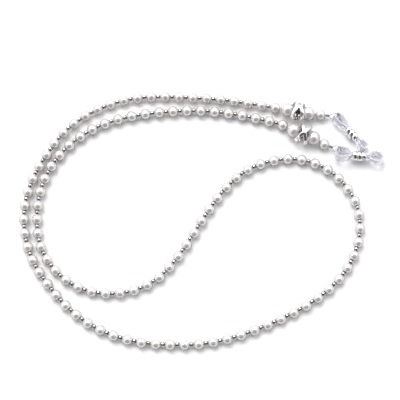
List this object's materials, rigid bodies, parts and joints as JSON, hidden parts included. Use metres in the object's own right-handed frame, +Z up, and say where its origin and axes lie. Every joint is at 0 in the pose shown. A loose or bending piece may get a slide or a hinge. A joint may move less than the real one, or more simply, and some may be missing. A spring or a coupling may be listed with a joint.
{
  "type": "eyeglasses chain",
  "caption": "Beaded eyeglasses chain of small imitation pearls with crossed-ring spacers and a clear rubber temple grip at each end, laid in a loose loop.",
  "frame": {"origin": "on the table, under the centre of the box round the whole laid chain", "axes": "+Z up from the table; +X towards the end fittings, along the laid chain's longest extent; +Y away from the viewer"},
  "size_m": [0.1555, 0.1111, 0.0085],
  "materials": {
    "pearl": "warm white pearlescent coat with a soft sheen",
    "silver": "bright silver plating",
    "wire": "bare grey beading wire",
    "crimp": "dark grey plated crimp",
    "rubber": "clear silicone rubber, faintly cool"
  },
  "bodies": {
    "strand": {"strand_wire": "wire", "pearl_run_01": "pearl", "pearl_run_02": "pearl", "pearl_run_03": "pearl", "pearl_run_04": "pearl", "pearl_run_05": "pearl", "pearl_run_06": "pearl", "pearl_run_07": "pearl", "pearl_run_08": "pearl", "pearl_run_09": "pearl", "pearl_run_10": "pearl", "pearl_run_11": "pearl", "pearl_run_12": "pearl", "pearl_run_13": "pearl", "pearl_run_14": "pearl", "pearl_run_15": "pearl", "pearl_run_16": "pearl", "pearl_run_17": "pearl", "pearl_run_18": "pearl", "pearl_run_19": "pearl", "pearl_run_20": "pearl", "pearl_run_21": "pearl", "pearl_run_22": "pearl", "pearl_run_23": "pearl", "pearl_run_24": "pearl", "pearl_run_25": "pearl", "pearl_run_26": "pearl", "pearl_run_27": "pearl", "pearl_run_28": "pearl", "pearl_run_29": "pearl", "pearl_run_30": "pearl", "pearl_run_31": "pearl", "pearl_run_32": "pearl", "pearl_run_33": "pearl", "pearl_run_34": "pearl", "pearl_run_35": "pearl", "pearl_run_36": "pearl", "pearl_run_37": "pearl"},
    "rear_tail": {"rear_tail_wire": "wire", "rear_end_pearl": "pearl", "rear_crimp_bead": "crimp"},
    "rear_inner_pearl": {"rear_inner_pearl": "pearl"},
    "rear_spacer": {"rear_x_spacer": "silver"},
    "rear_outer_pearl": {"rear_outer_pearl": "pearl"},
    "rear_grip": {"rear_grip_loop": "rubber"},
    "rear_sleeve": {"rear_ribbed_sleeve": "silver"},
    "front_tail": {"front_tail_wire": "wire", "front_end_pearl": "pearl", "front_crimp_bead": "crimp"},
    "front_inner_pearl": {"front_inner_pearl": "pearl"},
    "front_spacer": {"front_x_spacer": "silver"},
    "front_outer_pearl": {"front_outer_pearl": "pearl"},
    "front_grip": {"front_grip_loop": "rubber"},
    "front_sleeve": {"front_ribbed_sleeve": "silver"}
  },
  "joints": [
    {"name": "rear_tail_lift", "type": "hinge", "parent": "strand", "child": "rear_tail", "pos_m": [0.03172, 0.0484, 0.00225], "axis": [-0.3115, -0.9503, 0], "range_deg": [0, 20]},
    {"name": "rear_inner_pearl_spin", "type": "hinge", "parent": "rear_tail", "child": "rear_inner_pearl", "pos_m": [0.03694, 0.04721, 0.00338], "axis": [0.9337, -0.1938, 0.3011], "continuous": true},
    {"name": "rear_spacer_spin", "type": "hinge", "parent": "rear_tail", "child": "rear_spacer", "pos_m": [0.04135, 0.04635, 0.00425], "axis": [0.9814, -0.1918, 0], "continuous": true},
    {"name": "rear_outer_pearl_spin", "type": "hinge", "parent": "rear_tail", "child": "rear_outer_pearl", "pos_m": [0.04578, 0.04553, 0.00338], "axis": [0.9451, -0.127, -0.3011], "continuous": true},
    {"name": "rear_grip_swing", "type": "hinge", "parent": "rear_tail", "child": "rear_grip", "pos_m": [0.05719, 0.04468, 0.00279], "axis": [0, 0, 1], "range_deg": [0, 45]},
    {"name": "rear_sleeve_slide", "type": "slide", "parent": "rear_grip", "child": "rear_sleeve", "axis": [0.6428, -0.766, 0], "range_m": [-0.0005, 0.001]},
    {"name": "front_tail_lift", "type": "hinge", "parent": "strand", "child": "front_tail", "pos_m": [0.03483, 0.04072, 0.00225], "axis": [-0.3115, -0.9503, 0], "range_deg": [0, 20]},
    {"name": "front_inner_pearl_spin", "type": "hinge", "parent": "front_tail", "child": "front_inner_pearl", "pos_m": [0.03944, 0.03804, 0.00338], "axis": [0.8362, -0.4584, 0.3011], "continuous": true},
    {"name": "front_spacer_spin", "type": "hinge", "parent": "front_tail", "child": "front_spacer", "pos_m": [0.04359, 0.03632, 0.00425], "axis": [0.9331, -0.3595, 0], "continuous": true},
    {"name": "front_outer_pearl_spin", "type": "hinge", "parent": "front_tail", "child": "front_outer_pearl", "pos_m": [0.0478, 0.03473, 0.00338], "axis": [0.8726, -0.3845, -0.3011], "continuous": true},
    {"name": "front_grip_swing", "type": "hinge", "parent": "front_tail", "child": "front_grip", "pos_m": [0.06033, 0.02757, 0.00365], "axis": [0.0975, 0.4614, 0.8818], "range_deg": [-40, 0]},
    {"name": "front_sleeve_slide", "type": "slide", "parent": "front_grip", "child": "front_sleeve", "axis": [0.9923, -0.1131, -0.0506], "range_m": [-0.0005, 0.001]}
  ]
}
